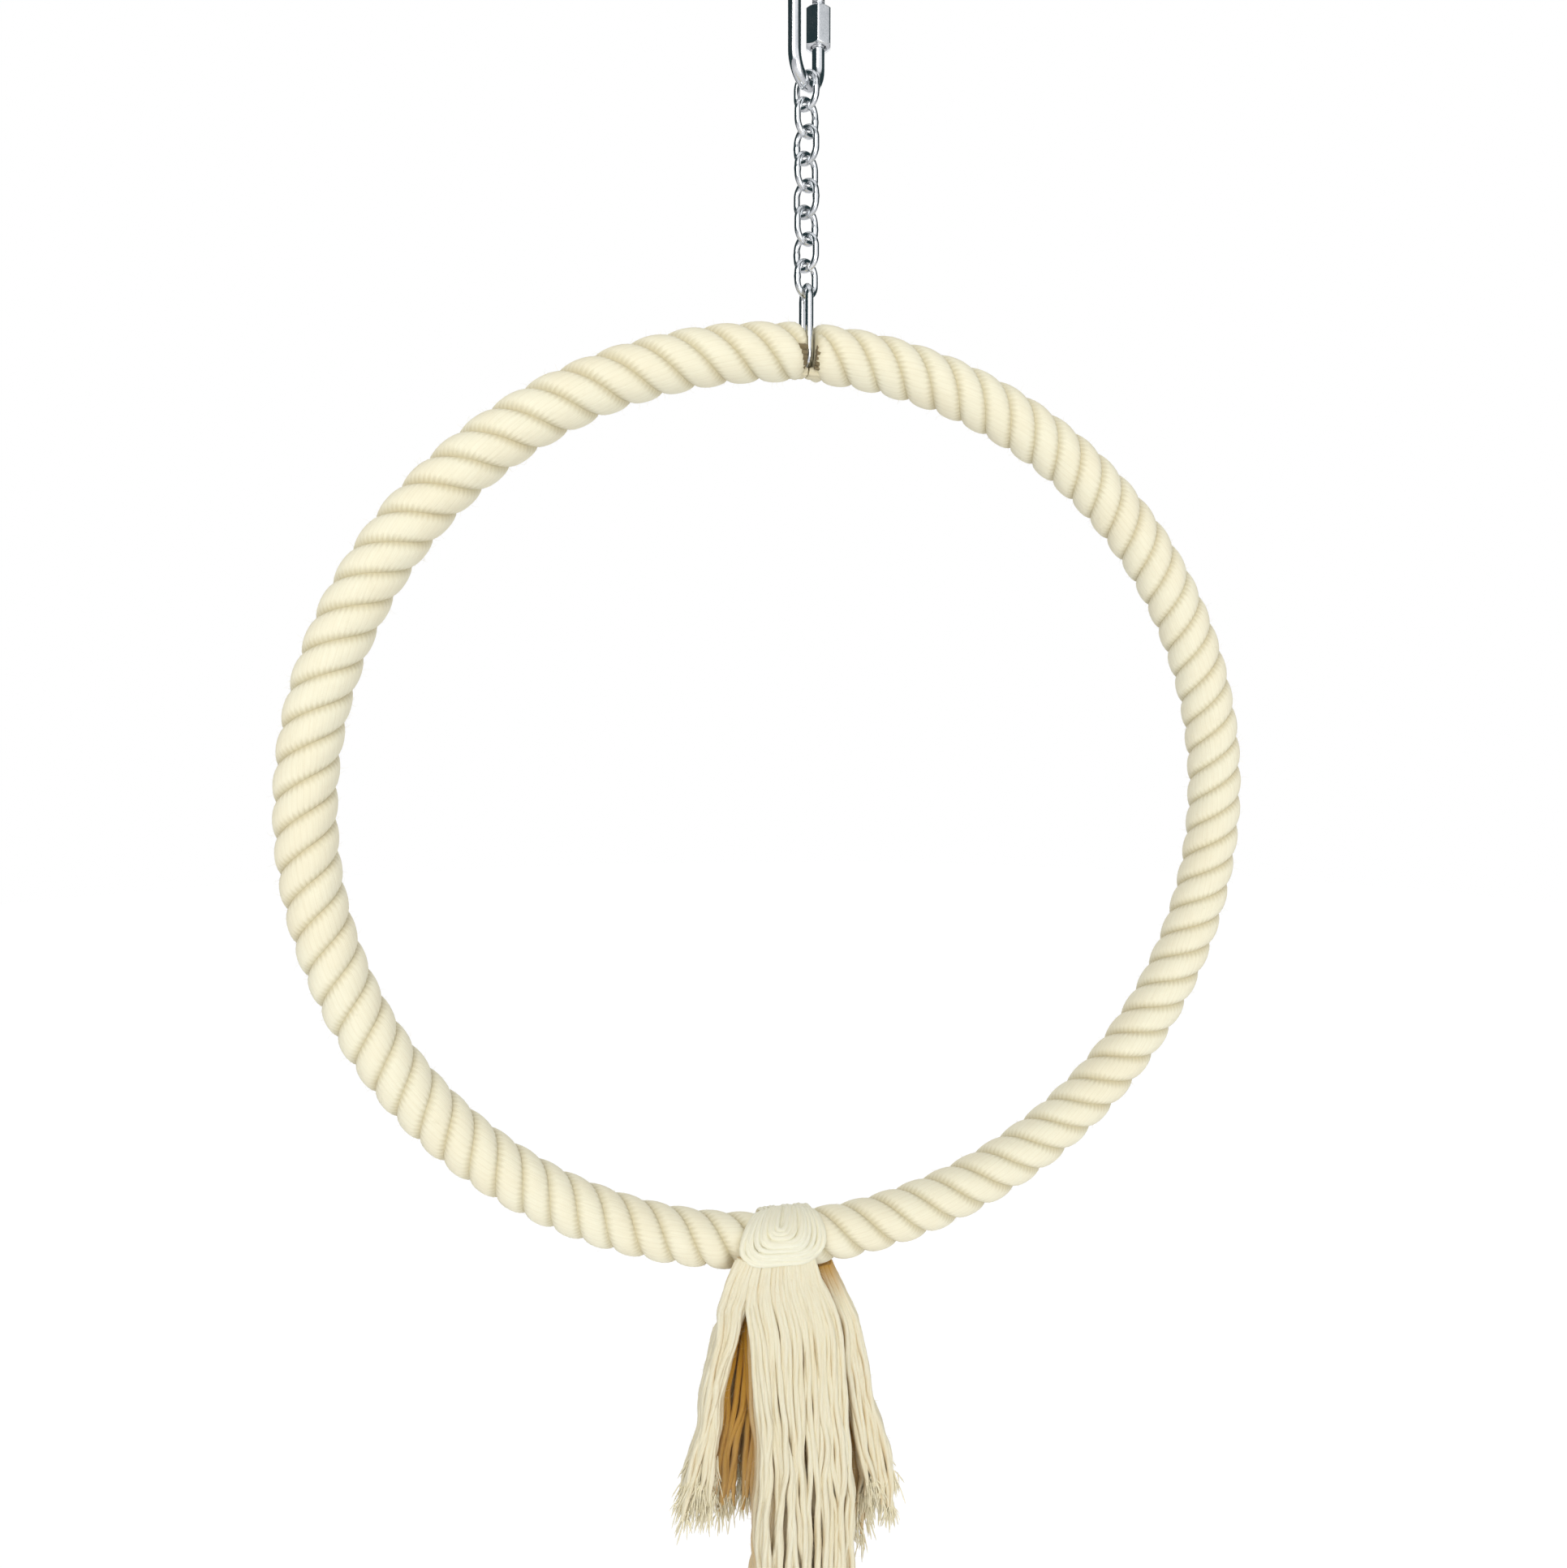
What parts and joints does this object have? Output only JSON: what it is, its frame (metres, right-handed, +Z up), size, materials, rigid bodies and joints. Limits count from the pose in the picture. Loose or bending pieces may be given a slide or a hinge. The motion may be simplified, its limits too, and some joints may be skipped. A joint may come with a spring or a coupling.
{
  "type": "rope ring bird swing",
  "caption": "Hanging bird swing: a thick rope ring on a hidden steel hoop, hung from a short chain and a screw-closed quick link, with a cotton yarn tassel hitched to the bottom.",
  "frame": {"origin": "the top of the space inside the quick link, where it bears on the bar or hook that carries the swing", "axes": "+Z up, along the hanging swing; the ring lies in the XZ plane, and the tassel's bight is on its -Y side"},
  "size_m": [0.321, 0.035, 0.5497],
  "materials": {
    "bright_metal": "bright nickel or zinc plating on steel wire",
    "core_steel": "plain drawn steel rod",
    "rope_cotton": "soft natural three-strand cotton rope",
    "tassel_yarn": "soft natural cotton yarn"
  },
  "bodies": {
    "quick_link": {"quick_link_body": "bright_metal"},
    "lock_nut": {"quick_link_nut": "bright_metal"},
    "chain_1": {"chain_link_1": "bright_metal"},
    "chain_2": {"chain_link_2": "bright_metal"},
    "chain_3": {"chain_link_3": "bright_metal"},
    "chain_4": {"chain_link_4": "bright_metal"},
    "chain_5": {"chain_link_5": "bright_metal"},
    "chain_6": {"chain_link_6": "bright_metal"},
    "chain_7": {"chain_link_7": "bright_metal"},
    "chain_8": {"chain_link_8": "bright_metal"},
    "hanger": {"hanger_loop": "bright_metal"},
    "ring": {"core_hoop": "core_steel", "rope": "rope_cotton"},
    "tassel": {"tassel_wrap": "tassel_yarn", "tassel_bight": "tassel_yarn", "tassel_bunch_left": "tassel_yarn", "tassel_bunch_middle_left": "tassel_yarn", "tassel_bunch_middle_right": "tassel_yarn", "tassel_bunch_right": "tassel_yarn", "tassel_bunch_back_left": "tassel_yarn", "tassel_bunch_back_right": "tassel_yarn"}
  },
  "joints": [
    {"name": "lock_nut_travel", "type": "slide", "parent": "quick_link", "child": "lock_nut", "axis": [0, 0, 1], "range_m": [0, 0.00825]},
    {"name": "chain_1_swing", "type": "hinge", "parent": "quick_link", "child": "chain_1", "pos_m": [0, 0, -0.0385], "axis": [0.7193, 0.6947, 0], "range_deg": [-25, 25]},
    {"name": "chain_2_swing", "type": "hinge", "parent": "chain_1", "child": "chain_2", "pos_m": [0, 0, -0.0455], "axis": [0.5299, -0.848, 0], "range_deg": [-25, 25]},
    {"name": "chain_3_swing", "type": "hinge", "parent": "chain_2", "child": "chain_3", "pos_m": [0, 0, -0.0535], "axis": [0.848, 0.5299, 0], "range_deg": [-25, 25]},
    {"name": "chain_4_swing", "type": "hinge", "parent": "chain_3", "child": "chain_4", "pos_m": [0, 0, -0.0615], "axis": [0.5299, -0.848, 0], "range_deg": [-25, 25]},
    {"name": "chain_5_swing", "type": "hinge", "parent": "chain_4", "child": "chain_5", "pos_m": [0, 0, -0.0695], "axis": [0.848, 0.5299, 0], "range_deg": [-25, 25]},
    {"name": "chain_6_swing", "type": "hinge", "parent": "chain_5", "child": "chain_6", "pos_m": [0, 0, -0.0775], "axis": [0.5299, -0.848, 0], "range_deg": [-25, 25]},
    {"name": "chain_7_swing", "type": "hinge", "parent": "chain_6", "child": "chain_7", "pos_m": [0, 0, -0.0855], "axis": [0.848, 0.5299, 0], "range_deg": [-25, 25]},
    {"name": "chain_8_swing", "type": "hinge", "parent": "chain_7", "child": "chain_8", "pos_m": [0, 0, -0.0935], "axis": [0.5299, -0.848, 0], "range_deg": [-25, 25]},
    {"name": "hanger_swing", "type": "hinge", "parent": "chain_8", "child": "hanger", "pos_m": [0, 0, -0.1015], "axis": [0.848, 0.5299, 0], "range_deg": [-15, 15]},
    {"name": "ring_swing", "type": "hinge", "parent": "hanger", "child": "ring", "pos_m": [0, 0, -0.1188], "axis": [1, 0, 0], "range_deg": [-60, 60]},
    {"name": "tassel_swing", "type": "hinge", "parent": "ring", "child": "tassel", "pos_m": [-0.00634, 0, -0.40667], "axis": [0.9992, 0, -0.0398], "range_deg": [-40, 40]}
  ]
}
